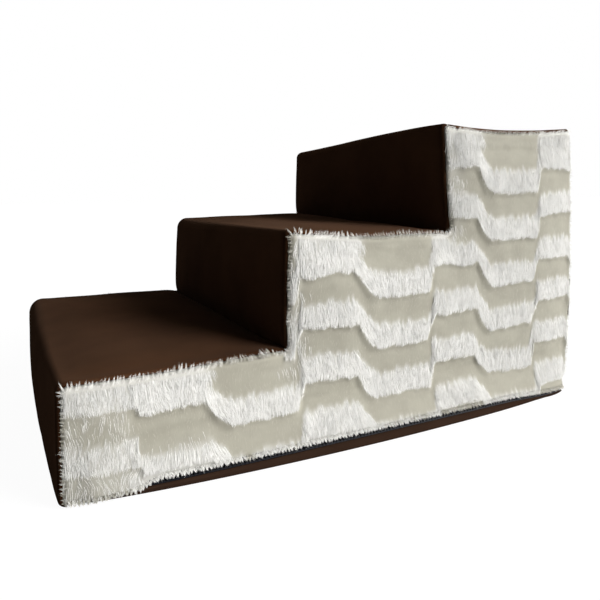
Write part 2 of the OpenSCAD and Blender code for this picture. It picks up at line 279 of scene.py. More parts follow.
def drawn_in(y, edge):
    """How far a panel with a rounded edge lies in from its plane beside the two sides."""
    near_edge = np.clip(edge - (HALF - np.abs(y)), 0, edge)
    return edge - np.sqrt(edge**2 - near_edge**2)


def crowns(x, y, z, across, up, step):
    """How far a riser and a tread stand out. Without the simulation they are crowned here."""
    middle = 1 - np.abs(y / HALF) ** 4
    riser_crown, tread_crown = ((0, 0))
    riser_out = riser_crown * bump(up) * middle + 0.6 * MM * noise(y, z, 40, 30, 3)
    tread_out = (TREAD_CROWN[step] - TREAD_CROWN[0] + tread_crown) * bump(across) * middle
    return riser_out, tread_out + 0.8 * MM * noise(x, y, 45, 50, 4) * bump(across)


def soften(points, normals, step):
    """Moves points of the cover from their flat places to where the stuffed cover lies."""
    x, y, z = points.T.copy()
    nx, nz = normals[:, 0], normals[:, 2]
    front, foot, top = FRONT + step * TREAD, step * RISER, (step + 1) * RISER
    bow = 1 - (y / HALF) ** 2
    across = (x - front) / TREAD
    up = (z - foot) / RISER
    # Rounding where the panels meet the sides
    nose = np.exp(-(((x - front) / NOSE_REACH) ** 2 + ((z - top) / NOSE_REACH) ** 2))
    edge = np.where(y < 0, NEAR_EDGE, FAR_EDGE + (FAR_CORNER - FAR_EDGE) * nose)
    inward = drawn_in(y, edge)
    riser_out, tread_out = crowns(x, y, z, across, up, step)
    new_x = x - np.maximum(-nx, 0) * riser_out - nx * inward
    new_z = z + np.maximum(nz, 0) * tread_out - nz * inward
    new_x = new_x - FRONT_BOW * bow * np.exp(-np.abs(x - front) / BOW_REACH)
    # Creases drawn in between a riser and the tread below it
    ripple = 1 + 0.35 * noise(y, 0 * y, 14, 1, 5)
    if step > 0:
        above = np.clip(z - foot, 0, None)
        new_x = new_x + np.maximum(-nx, 0) * PINCH * ripple * np.exp(-above / PINCH_REACH)
    if step < STEPS - 1:
        to_riser = np.clip(front + TREAD - x, 0, None)
        new_z = new_z - np.maximum(nz, 0) * PINCH * ripple * np.exp(-to_riser / PINCH_REACH)
    # The near edge of each tread hangs between its ends
    sag = SIDE_SAG[step] * bump(across, 1) * np.exp(-(y + HALF) / SAG_REACH)
    new_z = new_z - np.maximum(nz, 0) * sag
    push = corner_push(2 * step, y, np.clip(up, 0, 1), np.clip(across, 0, 1))
    return np.stack([new_x + push[:, 0], y, new_z + push[:, 1]], 1)


def base_lift(x, y):
    """How far the base is off the floor, near its front corners."""
    lift = from_near_to_far(NEAR_CORNERS[0][1], FAR_CORNERS[0][1], y) * MM
    return lift * np.exp(-(x - FRONT) / LIFT_REACH)


def strip_out(x):
    """How far the bottom of the near strip bulges at a place along the stairs."""
    behind = np.clip((x - BULGE_AT) / (REAR + 5 * MM - BULGE_AT), 0, 1)
    before = np.clip((BULGE_AT - x) / (BULGE_AT - FRONT + 5 * MM), 0, 1)
    shape = (1 - behind**2.6) ** 0.45 * (1 - before**1.8) ** 0.75
    return STRIP_BULGE * shape * smooth((REAR - x) / REAR_FADE) * smooth((x - FRONT) / FRONT_FADE)


def low_bulge(x, z):
    """How far the near side bulges at a place, less and less above the strip."""
    return strip_out(x) * np.clip(1 - (z - STRIP_ROLL) / BULGE_TOP, 0, 1) ** 2.5


def across_stairs(spacing=4 * MM):
    """Places from the near edge of the brown panels to the far one, closer together at the edges."""
    rim = np.array([0, 0.5, 1.2, 2.2, 3.5, 5, 7, 9.5, 12.5]) * MM
    inner = np.arange(-HALF + 16 * MM, HALF - 16 * MM, spacing)
    return np.concatenate([-HALF + rim, inner, [HALF - 16 * MM], HALF - rim[::-1]])


def grid_faces(rows, columns):
    """Quads of a grid whose points run along its columns first."""
    a = (np.arange(rows - 1)[:, None] * columns + np.arange(columns - 1)[None]).ravel()
    return np.stack([a, a + 1, a + columns + 1, a + columns], 1)


def soft_rows(step, tuck, ys):
    """The number of rows in one step's sheet, and its flat and soft places."""
    rows = step_rows(step, tuck, ys)
    flat = rows.reshape(-1, 4)
    y = np.tile(ys, len(rows))
    points = np.stack([flat[:, 0], y, flat[:, 1]], 1)
    normals = np.stack([flat[:, 2], 0 * y, flat[:, 3]], 1)
    soft = soften(points, normals, step)
    soft[:, 2] = np.maximum(soft[:, 2], COVER_LOWEST)
    return len(rows), points, soft


def swept(step, tuck, ys):
    """The sheet of one step across the stairs."""
    count, flat, soft = soft_rows(step, tuck, ys)
    soft = soft + pressed(soft)
    SKIN.append((flat, soft))
    return soft, grid_faces(count, len(ys))


# Pairs of flat and soft places, by which the trim finds its place on the soft cover
SKIN = []


# Stuffing


def back_rows(ys):
    """The back panel, from the top seam down to the floor."""
    seam = TOP - from_near_to_far(NEAR_REAR, FAR_REAR, ys)
    t = np.linspace(1, 0, 45)[1:, None]
    z = COVER_LOWEST + (seam - COVER_LOWEST)[None] * t
    return back_point(np.tile(ys, len(t)), z.ravel())


def closed_cover():
    """The whole cover as one closed body, remeshed in even cells."""
    ys = np.linspace(-HALF, HALF, 45)
    sheets = [soft_rows(k, 0, ys)[2] for k in range(STEPS)]
    points = np.concatenate(sheets + [back_rows(ys)])
    across, rows = len(ys), len(points) // len(ys)
    faces = [tuple(corners) for corners in grid_faces(rows, across).tolist()]
    last = (rows - 1) * across
    faces += [(last + j, last + j + 1, j + 1, j) for j in range(across - 1)]
    faces.append(tuple(range(0, rows * across, across)))
    faces.append(tuple(range(rows * across - 1, -1, -across)))
    rough = bpy.data.meshes.new("closed_cover")
    rough.from_pydata(points.tolist(), [], faces)
    ob = placed("closed_cover", rough)
    cells = ob.modifiers.new("cells", "REMESH")
    cells.mode = "VOXEL"
    cells.voxel_size = VOXEL
    even = bpy.data.meshes.new_from_object(ob.evaluated_get(bpy.context.evaluated_depsgraph_get()))
    ob.modifiers.clear()
    ob.data = even
    bpy.data.meshes.remove(rough)
    return ob


def places_of(me):
    places = np.empty(len(me.vertices) * 3)
    me.vertices.foreach_get("co", places)
    return places.reshape(-1, 3)


def tree_of(places):
    """A tree that finds the nearest of these places."""
    tree = KDTree(len(places))
    for index, place in enumerate(places):
        tree.insert(place, index)
    tree.balance()
    return tree


def placed(name, data):
    """A new object in the scene."""
    ob = bpy.data.objects.new(name, data)
    bpy.context.collection.objects.link(ob)
    return ob


def held_by_seams(places):
    """Which places a seam or the floor holds."""
    x, y, z = places.T
    held = (HALF - np.abs(y) < SEAM_HOLD) | (z < SEAM_HOLD)
    for k in range(1, STEPS):
        held |= np.hypot(x - FRONT - k * TREAD, z - k * RISER) < SEAM_HOLD
    return held | (np.hypot(x - REAR, z - TOP) < SEAM_HOLD)


def press():
    """Presses the cover out from inside with a short cloth simulation, and keeps how its places move."""
    body = closed_cover()
    before = places_of(body.data)
    seams = body.vertex_groups.new(name="seams")
    seams.add(np.flatnonzero(held_by_seams(before)).tolist(), 1, "REPLACE")
    cloth = body.modifiers.new("stuffing", "CLOTH")
    settings = cloth.settings
    settings.vertex_group_mass = "seams"
    settings.use_pressure = True
    settings.uniform_pressure_force = PRESSURE
    settings.tension_stiffness = STIFFNESS
    settings.compression_stiffness = STIFFNESS
    settings.effector_weights.gravity = 0
    for number in range(1, SIM_FRAMES + 1):
        bpy.context.scene.frame_set(number)
    swollen = body.evaluated_get(bpy.context.evaluated_depsgraph_get())
    moved = places_of(swollen.to_mesh()) - before
    swollen.to_mesh_clear()
    bpy.context.scene.frame_set(1)
    size = np.maximum(np.linalg.norm(moved, axis=1, keepdims=True), 1e-9)
    moved = moved / size * SWELL_CAP * np.tanh(size / SWELL_CAP)
    # The foam's edges hold the noses in
    x, y, z = before.T
    for k in range(STEPS):
        away = np.hypot(x - FRONT - k * TREAD, z - (k + 1) * RISER)
        moved = moved * (1 - 0.85 * bell(away, NOSE_HOLD))[:, None]
    cloth_mesh = body.data
    bpy.data.objects.remove(body)
    bpy.data.meshes.remove(cloth_mesh)
    PRESSED.append((tree_of(before), moved))


# The places that the simulation moved, and their moves
PRESSED = []


def pressed(points):
    """How far the stuffing moves places of the brown cover."""
    total = np.zeros_like(points)
    for tree, moved in PRESSED:
        hits = [tree.find_n(place, 8) for place in points]
        nearest = np.array([[hit[1] for hit in found] for found in hits])
        away = np.array([[hit[2] for hit in found] for found in hits])
        weight = bell(away, VOXEL) + 1e-6
        total += (moved[nearest] * weight[..., None]).sum(1) / weight.sum(1)[:, None]
    return total


# Meshes


def add_mesh(name, points, faces, material, triangles=None):
    """A smooth mesh piece from arrays of points, quads and triangles."""
    me = bpy.data.meshes.new(name)
    triangles = np.empty((0, 3), int) if triangles is None else triangles
    corners = np.concatenate([np.asarray(faces).ravel(), triangles.ravel()])
    starts = np.concatenate([np.arange(len(faces)) * 4, len(faces) * 4 + np.arange(len(triangles)) * 3])
    me.vertices.add(len(points))
    me.vertices.foreach_set("co", np.asarray(points, np.float32).ravel())
    me.loops.add(len(corners))
    me.loops.foreach_set("vertex_index", corners.astype(np.int32))
    me.polygons.add(len(starts))
    me.polygons.foreach_set("loop_start", starts.astype(np.int32))
    me.update(calc_edges=True)
    me.validate()
    me.shade_smooth()
    me.materials.append(material)
    ob = placed(name, me)
    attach(ob, "stairs")
    return ob


def set_values(ob, name, values):
    """Stores a value at every vertex."""
    layer = ob.data.attributes.new(name, "FLOAT", "POINT")
    layer.data.foreach_set("value", values.astype(np.float32))


def thicken(ob, thickness):
    """Gives a sheet its thickness on the side away from its normals."""
    solid = ob.modifiers.new("thickness", "SOLIDIFY")
    solid.thickness = thickness
    solid.offset = -1


# Materials


class Look:
    """The nodes of a material or of the world."""

    def __init__(self, owner):
        owner.use_nodes = True
        self.owner = owner
        self.tree = owner.node_tree
        self.bsdf = self.tree.nodes.get("Principled BSDF")

    def fill(self, node, values):
        """Sets inputs of a node, each to a value or to another node's output."""
        for name, value in values.items():
            if isinstance(value, bpy.types.NodeSocket):
                self.tree.links.new(value, node.inputs[name])
            else:
                node.inputs[name].default_value = value
        return node

    def add(self, kind, values, **settings):
        node = self.tree.nodes.new("ShaderNode" + kind)
        for name, setting in settings.items():
            setattr(node, name, setting)
        return self.fill(node, values)

    def noise(self, scale, detail=2, stretch=None):
        """Noise in the object's own coordinates, in cells per metre."""
        coords = self.add("TexCoord", {}).outputs["Object"]
        if stretch:
            coords = self.add("Mapping", {"Scale": stretch, "Vector": coords}).outputs["Vector"]
        values = {"Scale": scale, "Detail": detail, "Vector": coords}
        return self.add("TexNoise", values).outputs["Fac"]

    def stored(self, name):
        """A value that the piece stores at its vertices."""
        return self.add("Attribute", {}, attribute_name=name).outputs["Fac"]

    def ramp(self, factor, stops):
        """Colours along a factor, from pairs of place and colour."""
        node = self.add("ValToRGB", {"Fac": factor})
        elements = node.color_ramp.elements
        while len(elements) < len(stops):
            elements.new(0.5)
        for element, (place, colour) in zip(elements, stops):
            element.position = place
            element.color = (*colour, 1)
        return node.outputs["Color"]

    def mixed(self, factor, a, b, blend="MIX"):
        values = {"Factor": factor, "A": a, "B": b}
        return self.add("Mix", values, data_type="RGBA", blend_type=blend).outputs["Result"]

    def multiplied(self, a, b):
        return self.mixed(1, a, b, "MULTIPLY")

    def finish(self, height, strength, distance, **values):
        """Sets the surface: its bumps, and the other inputs by their names."""
        sizes = {"Strength": strength, "Distance": distance, "Height": height}
        values["Normal"] = self.add("Bump", sizes).outputs["Normal"]
        self.fill(self.bsdf, {name.replace("_", " "): value for name, value in values.items()})
        return self.owner


def new_look(name):
    return Look(bpy.data.materials.new(name))


def microfibre(name, dark, light):
    """Short-napped brown cloth with brushed patches, darkened by shade painted in where the piece stores
    it.
    """
    look = new_look(name)
    colour = look.ramp(look.noise(14, 3), [(0.3, dark), (0.7, light)])
    # Painted shade, stored at the cover's vertices, darkens the cloth
    shade = look.ramp(look.stored("painted_shade"), [(0.0, (1, 1, 1)), (1.0, (0.45, 0.42, 0.4))])
    return look.finish(look.noise(1400), 0.35, 0.4 * MM, Base_Color=look.multiplied(colour, shade),
                       Roughness=0.95, Sheen_Weight=0.1, Sheen_Roughness=0.4,
                       Sheen_Tint=(0.55, 0.36, 0.26, 1), Specular_IOR_Level=0.0)


def hair(name, root, middle, tip, dull, roughness):
    """Hair whose colour runs from root to tip, with duller and brighter streaks, and duller where shade is
    painted into its tone.
    """
    look = new_look(name)
    shade = look.ramp(look.stored("along"), [(0.0, root), (0.5, middle), (1.0, tip)])
    tint = look.ramp(look.stored("tone"), [(0.0, dull), (0.7, (1, 1, 1))])
    look.fill(look.bsdf, {"Base Color": look.multiplied(shade, tint), "Roughness": roughness,
                          "Specular IOR Level": 0.5})
    return look.owner


def plush():
    """The ground of the pile: cream, and white where the long pile grows."""
    look = new_look("fur_plush")
    colour = look.mixed(look.stored("white"), (*CREAM, 1), (*UNDER_WHITE, 1))
    streaks = look.noise(420, 3, (1, 1, 0.12))
    shade = look.ramp(streaks, [(0.3, (0.98, 0.98, 0.975)), (0.6, (1, 1, 1))])
    blotches = look.noise(45, 2, (1, 1, 1.6))
    soft = look.ramp(blotches, [(0.35, (0.94, 0.935, 0.93)), (0.65, (1.03, 1.035, 1.03))])
    colour = look.multiplied(colour, look.multiplied(shade, soft))
    return look.finish(look.noise(1300, 2, (1, 1, 0.15)), 0.2, 0.5 * MM, Base_Color=colour,
                       Roughness=0.8, Sheen_Weight=0.05)


def plain_weave(name, dark, light, scale=1800):
    """Woven tape or thread."""
    look = new_look(name)
    values = {"Scale": scale, "Color1": (*dark, 1), "Color2": (*light, 1)}
    values["Vector"] = look.add("TexCoord", {}).outputs["Object"]
    weave = look.add("TexChecker", values).outputs
    return look.finish(weave["Fac"], 0.4, 0.2 * MM, Base_Color=weave["Color"], Roughness=0.8,
                       Specular_IOR_Level=0.0)


def mottled(name, dark, light, scale, roughness, metallic=0.0, bump_height=0.05 * MM, shine=0.5):
    """A moulded or painted surface with faint unevenness."""
    look = new_look(name)
    spots = look.noise(scale, 3)
    colour = look.ramp(spots, [(0.3, dark), (0.7, light)])
    return look.finish(spots, 0.3, bump_height, Base_Color=colour, Roughness=roughness,
                       Metallic=metallic, Specular_IOR_Level=shine)


BROWN = microfibre("brown_microfibre", (0.071, 0.034, 0.0178), (0.1, 0.048, 0.025))
BASE_BROWN = microfibre("base_microfibre", (0.037, 0.0205, 0.0132), (0.048, 0.0265, 0.0175))
CREAM = (0.455, 0.432, 0.352)
UNDER_WHITE = (0.74, 0.725, 0.675)
HAIR = hair("fur_hair", (0.86, 0.845, 0.79), (0.92, 0.905, 0.85), (0.97, 0.955, 0.91),
            (0.84, 0.845, 0.845), 0.4)
SHORT_HAIR = hair("fur_short_hair", CREAM, (0.5, 0.475, 0.39), (0.55, 0.52, 0.43),
                  (0.93, 0.93, 0.92), 0.55)
PLUSH = plush()
GROUND = plain_weave("fur_ground", (0.5, 0.47, 0.4), (0.6, 0.57, 0.5), 700)
FOAM = mottled("foam", (0.72, 0.68, 0.55), (0.82, 0.78, 0.66), 500, 0.95, bump_height=0.6 * MM, shine=0.0)
TAPE = plain_weave("zipper_tape", (0.006, 0.006, 0.008), (0.014, 0.014, 0.017))
COIL = mottled("zipper_coil", (0.006, 0.006, 0.009), (0.012, 0.012, 0.016), 900, 0.5, shine=0.1)
METAL = mottled("slider_metal", (0.01, 0.01, 0.011), (0.018, 0.018, 0.02), 600, 0.3, 0.6)
THREAD = plain_weave("thread", (0.01, 0.006, 0.004), (0.03, 0.018, 0.012), 2600)
WEBBING = plain_weave("tab_webbing", (0.008, 0.005, 0.004), (0.02, 0.013, 0.01), 1200)


# Brown cover


def make_step_covers():
    names = ["lower_step_cover", "middle_step_cover", "upper_step_cover"]
    for k, name in enumerate(names):
        points, faces = swept(k, TUCK, across_stairs())
        cover = add_mesh("soft_" + name, points, faces, BROWN)
        # Painted shade: the cloth darkens towards the foot of the next riser, and where a riser meets the
        # near side
        behind = points[:, 0] - FRONT - k * TREAD
        painted_shade = PAINTED_SHADE_MOST[k] * np.exp(-np.maximum(TREAD - behind, 0) / PAINTED_SHADE_REACH)
        painted_shade = np.maximum(painted_shade, np.exp(-(points[:, 1] + HALF) / (5 * MM)) * smooth(2 - behind / (8 * MM)))
        set_values(cover, "painted_shade", painted_shade)
        thicken(cover, COVER_SHEET)
        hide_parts(name)


def back_point(y, z):
    """Where the back panel lies, in from its flat place near its sides."""
    inward = drawn_in(y, np.where(y < 0, NEAR_EDGE, FAR_EDGE))
    crown = 0
    crown = crown * bump((z - BACK_STILL) / (TOP - BACK_STILL), 0.8) * (1 - np.abs(y / HALF) ** 4)
    rough = 0.7 * MM * noise(y, z, 50, 60, 7) * smooth((z - BACK_STILL) / (30 * MM))
    side = np.exp(-(y + HALF) / (60 * MM))
    low = NEAR_CORNERS[7][0] * MM
    top = corner_push(4, y, 1, 1)
    lean = top[:, 0] * z / TOP
    # The zipper pull passes below this
    above = smooth((z - PULL_TOP) / (14 * MM))
    lean = lean + side * above * (low * (1 - z / TOP) + BACK_EDGE_BULGE * bump(z / TOP, 0.8))
    rise = top[:, 1] * smooth(z / TOP)
    return np.stack([REAR - inward + crown + rough + lean, y, z + rise], 1)


def make_back_panel():
    ys = across_stairs()
    seam = TOP - from_near_to_far(NEAR_REAR, FAR_REAR, ys)
    hem = ZIP_END + 5.2 * MM
    foot = 3.5 * MM
    zs = np.linspace(0, 1, 80)
    closed = smooth((ys - ZIP_FINISH) / (4 * MM))
    low = hem + (foot - hem) * closed
    grid_z = low[None] + (seam - low)[None] * zs[:, None]
    grid_y = np.tile(ys, (len(zs), 1))
    points = back_point(grid_y.ravel(), grid_z.ravel())
    points = points + pressed(points) * smooth((points[:, 2:] - PULL_TOP) / (25 * MM))
    SKIN.append((np.stack([np.full(grid_y.size, REAR), grid_y.ravel(), grid_z.ravel()], 1), points))
    panel = add_mesh("soft_back_panel", points, grid_faces(len(zs), len(ys))[:, ::-1], BROWN)
    thicken(panel, COVER_SHEET)
    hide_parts("back_panel")


def strip_rows(xs, rear_z):
    """Rows of flat and soft places of the near strip, rolled up from the floor to the zipper."""
    near = np.full_like(xs, -HALF)
    near_lift = base_lift(xs, near)
    top = zip_z(xs) - CHAIN - ZIP_GAP
    dip = zip_dip(xs, -HALF)
    out = strip_out(xs)
    roll = np.clip(top - dip - 1.5 * MM, 0.2 * MM, STRIP_ROLL)
    flat, soft = [], []
    for u in np.linspace(0, 1, 9):
        turn = math.radians(90 * u)
        low = OFF_FLOOR + roll * (1 - math.cos(turn))
        y = -HALF - out + roll * (1 - math.sin(turn))
        flat.append(np.stack([xs, near, low], 1))
        soft.append(np.stack([xs, y, np.maximum(low, rear_z) + near_lift], 1))
    for u in np.linspace(0, 1, 9)[1:]:
        z = OFF_FLOOR + roll + (top - roll - OFF_FLOOR) * u
        crown = 1.5 * MM * math.sin(math.pi * u)
        hung = z + near_lift * (1 - 0.4 * u) - dip * u
        hung = np.maximum(hung, np.maximum(OFF_FLOOR + roll, rear_z))
        flat.append(np.stack([xs, near, z], 1))
        soft.append(np.stack([xs, -HALF - low_bulge(xs, z) - crown, hung], 1))
    return flat, soft


def make_base_panel():
    """The sheet under the stairs, whose near and rear edges turn up into a lip below the zipper."""
    turn_x = np.array([-6, -3.5, -1.8, -0.7, -0.1, 0, 0, 0]) * MM
    turn_z = np.array([0, 0.2, 0.6, 1.3, 2.2, 3, 3.6, 4.2]) * MM
    xs = np.concatenate([np.linspace(FRONT + 1 * MM, REAR - 8 * MM, 150), REAR + turn_x])
    rear_z = np.concatenate([np.zeros(150), turn_z])
    flat, soft = [], []
    for y in np.linspace(HALF - 1 * MM, -HALF + 6 * MM, 60):
        row = np.stack([xs, np.full_like(xs, y), OFF_FLOOR + rear_z], 1)
        flat.append(row)
        soft.append(row + np.outer(base_lift(xs, row[:, 1]), (0, 0, 1)))
    strip_flat, strip_soft = strip_rows(xs, rear_z)
    flat, soft = np.concatenate(flat + strip_flat), np.concatenate(soft + strip_soft)
    bow = FRONT_BOW * np.clip(1 - (soft[:, 1] / HALF) ** 2, 0, 1)
    soft[:, 0] -= bow * np.exp(-(soft[:, 0] - FRONT) / BOW_REACH)
    SKIN.append((flat, soft))
    panel = add_mesh("soft_base_panel", soft, grid_faces(len(flat) // len(xs), len(xs)), BASE_BROWN)
    thicken(panel, FABRIC * 0.5)
    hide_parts("base_panel")


# Fur side panels


def side_outline(side):
    """The closed seam of a side panel, in X and Z. side is -1 for the near panel."""
    y = side * HALF
    parts = []
    for k in range(STEPS):
        parts.append(swept(k, 0, np.array([y]))[0][:, [0, 2]])
    edge = NEAR_REAR if side < 0 else FAR_REAR
    low = hem_z(REAR) + 1.5 * MM if side < 0 else 14 * MM
    zs = np.linspace(TOP - edge, low, 70)
    parts.append(back_point(np.full(len(zs), y), zs)[1:, [0, 2]])
    if side < 0:
        xs = np.linspace(REAR - NEAR_EDGE, FRONT + NEAR_EDGE, 200)
        z = hem_z(xs) + base_lift(xs, np.full_like(xs, y))
    else:
        xs = np.linspace(REAR - FAR_EDGE, FRONT + FAR_EDGE, 200)
        z = np.full(len(xs), 3 * MM)
    parts.append(np.stack([xs, z], 1))
    return np.concatenate(parts)


def hem_z(x):
    """Height of the near panel's lower edge."""
    opened = smooth((x - ZIP_START) / HEM_OPENS)
    risen = smooth((x - FRONT) / HEM_RISE)
    shut = HEM_START + (zip_z(x) - CHAIN - ZIP_GAP - HEM_START) * risen
    return shut + 2 * (CHAIN + ZIP_GAP) * opened - zip_dip(x, -HALF)


def inside(points, outline):
    """Which points lie inside a closed outline."""
    x, z = points.T
    a, b = outline, np.roll(outline, -1, 0)
    found = np.zeros(len(points), bool)
    for (ax, az), (bx, bz) in zip(a, b):
        crosses = (az > z) != (bz > z)
        if crosses.any():
            at = ax + (z - az) / (bz - az if bz != az else 1) * (bx - ax)
            found ^= crosses & (x < at)
    return found


def nearest_edge(points, outline):
    """Distance to an outline, and the nearest place on it, for each point."""
    a, b = outline, np.roll(outline, -1, 0)
    best = np.full(len(points), 1e9)
    place = np.zeros_like(points)
    for start, end in zip(a, b):
        run = end - start
        length = run @ run
        t = np.clip(((points - start) @ run) / length if length > 0 else 0 * points[:, 0], 0, 1)
        on = start + np.multiply.outer(t, run)
        distance = np.linalg.norm(points - on, axis=1)
        closer = distance < best
        best[closer] = distance[closer]
        place[closer] = on[closer]
    return best, place


def wave_phase(x):
    """Distance past the start of the high part of the wave."""
    return np.mod(x - FIRST_HIGH, WAVE)


def wave_height(x):
    """How far a band is raised at a place along the stairs."""
    at = wave_phase(x)
    fall = smooth(np.clip((at - FALL_AT) / FALL_LENGTH, 0, 1) ** 0.65)
    climb = smooth((at - CLIMB_AT) / CLIMB_LENGTH)
    return np.where(x < FIRST_HIGH, WAVE_RISE + FRONT_RAISED, WAVE_RISE * (1 - fall + climb))


def on_fall(x):
    """1 half way down a fall of the wave, and less beside it."""
    return bell(wave_phase(x) - FALL_AT - FALL_LENGTH / 2, 13 * MM)


def at_front(x):
    """1 ahead of the first high stretch, where the fur is tousled."""
    return smooth((FIRST_HIGH - x) / (10 * MM))


def beside_riser(x, z):
    """1 at the front edge of a step's side, and less beside it."""
    near = 0 * x
    for k in range(STEPS):
        beside = np.maximum(np.maximum(k * RISER - z, z - (k + 1) * RISER), 0)
        near = near + bell(np.hypot(x - FRONT - k * TREAD, beside), 16 * MM)
    return near


def parting(x, z):
    """Signed distance from the wavering line where the bands jump up."""
    wander = 3 * MM * noise(z, 0 * z, 17, 1, 15) + 1.2 * MM * noise(z, 0 * z, 4, 1, 16)
    return np.mod(wave_phase(x) - PARTING_AT + wander + WAVE / 2, WAVE) - WAVE / 2


def band_white(x, z, at):
    """How white the fur is at a height above the lower edge of its band, away from the seams."""
    streak = noise(x, z, 2.4, 40, 17)
    white = smooth((BAND_HEIGHT * (1.05 + 0.14 * streak) - at) / (7 * MM)) * smooth(at / (1.5 * MM))
    # Tousled at the front
    tousled = at_front(x)
    patches = smooth(0.55 + 0.9 * noise(x, z, 17, 11, 41))
    white = white * (1 - 0.3 * tousled) + 0.12 * tousled * patches
    # Mixed beside the risers of the other steps
    mixed = np.clip(1.2 * beside_riser(x, z), 0, 1) * (1 - tousled)
    white = white * (1 - 0.6 * mixed) + 0.4 * mixed * patches
    # Thin above the hem of the first high stretch
    thin = smooth((z - THIN_FROM) / (6 * MM)) * smooth((THIN_TO - z) / (4 * MM)) * (x > FIRST_HIGH)
    thin = thin * smooth((FIRST_HIGH + FALL_AT + 10 * MM - x) / (8 * MM))
    return white * (1 - thin * (0.55 + 0.4 * patches))


def fur_pattern(x, z):
    """Height above the lower edge of a band, its whiteness, and its relief, at a place."""
    wander = 2.6 * MM * noise(x, z, 24, 60, 11)
    wander = wander + 1.2 * MM * noise(x, z, 5, 40, 12)
    shifted = x + 3 * MM * noise(x, z, 80, 26, 10)
    at = np.mod(z - wave_height(shifted) + BAND_DROP + wander, BAND_PITCH)
    white = band_white(x, z, at)
    # Just below a tread a high stretch is white up to the seam and a low one is plain
    step = np.clip(np.floor((x - FRONT) / TREAD), 0, STEPS - 1)
    under_seam = smooth((z - (step + 1) * RISER + 21 * MM) / (7 * MM))
    high = np.maximum(smooth(wave_height(shifted) / WAVE_RISE * 1.4 - 0.2), at_front(x))
    white = white * (1 - under_seam) + 0.85 * under_seam * high
    # The lowest band of the first two high stretches reaches the hem, and thinly at the front too
    reaches = (0.25 + 0.75 * smooth((x - FIRST_HIGH) / (30 * MM) + 0.7)) * (x < LOW_WHITE_ENDS)
    white = np.maximum(white, high * smooth((LOW_WHITE - z) / (4 * MM)) * reaches)
    ledge = LEDGE * (1 + 0.9 * on_fall(shifted))
    shingle = np.clip(1 - at / (BAND_HEIGHT + 6 * MM), 0, 1) + smooth(1 - (BAND_PITCH - at) / ledge)
    hollow = bell(BAND_PITCH - LEDGE - at, 5 * MM)
    relief = (BAND_RELIEF * shingle - 0.3 * MM * hollow) * (1 - under_seam * (1 - high))
    return at, white, relief * (1 - 0.8 * at_front(x))


def bilinear(table, a, b):
    """Values between the entries of a table, at fractional rows and columns."""
    a, b = np.clip(a, 0, table.shape[0] - 1.001), np.clip(b, 0, table.shape[1] - 1.001)
    i, j = a.astype(int), b.astype(int)
    u, v = a - i, b - j
    lower = table[i, j] * (1 - v) + table[i, j + 1] * v
    upper = table[i + 1, j] * (1 - v) + table[i + 1, j + 1] * v
    return lower * (1 - u) + upper * u


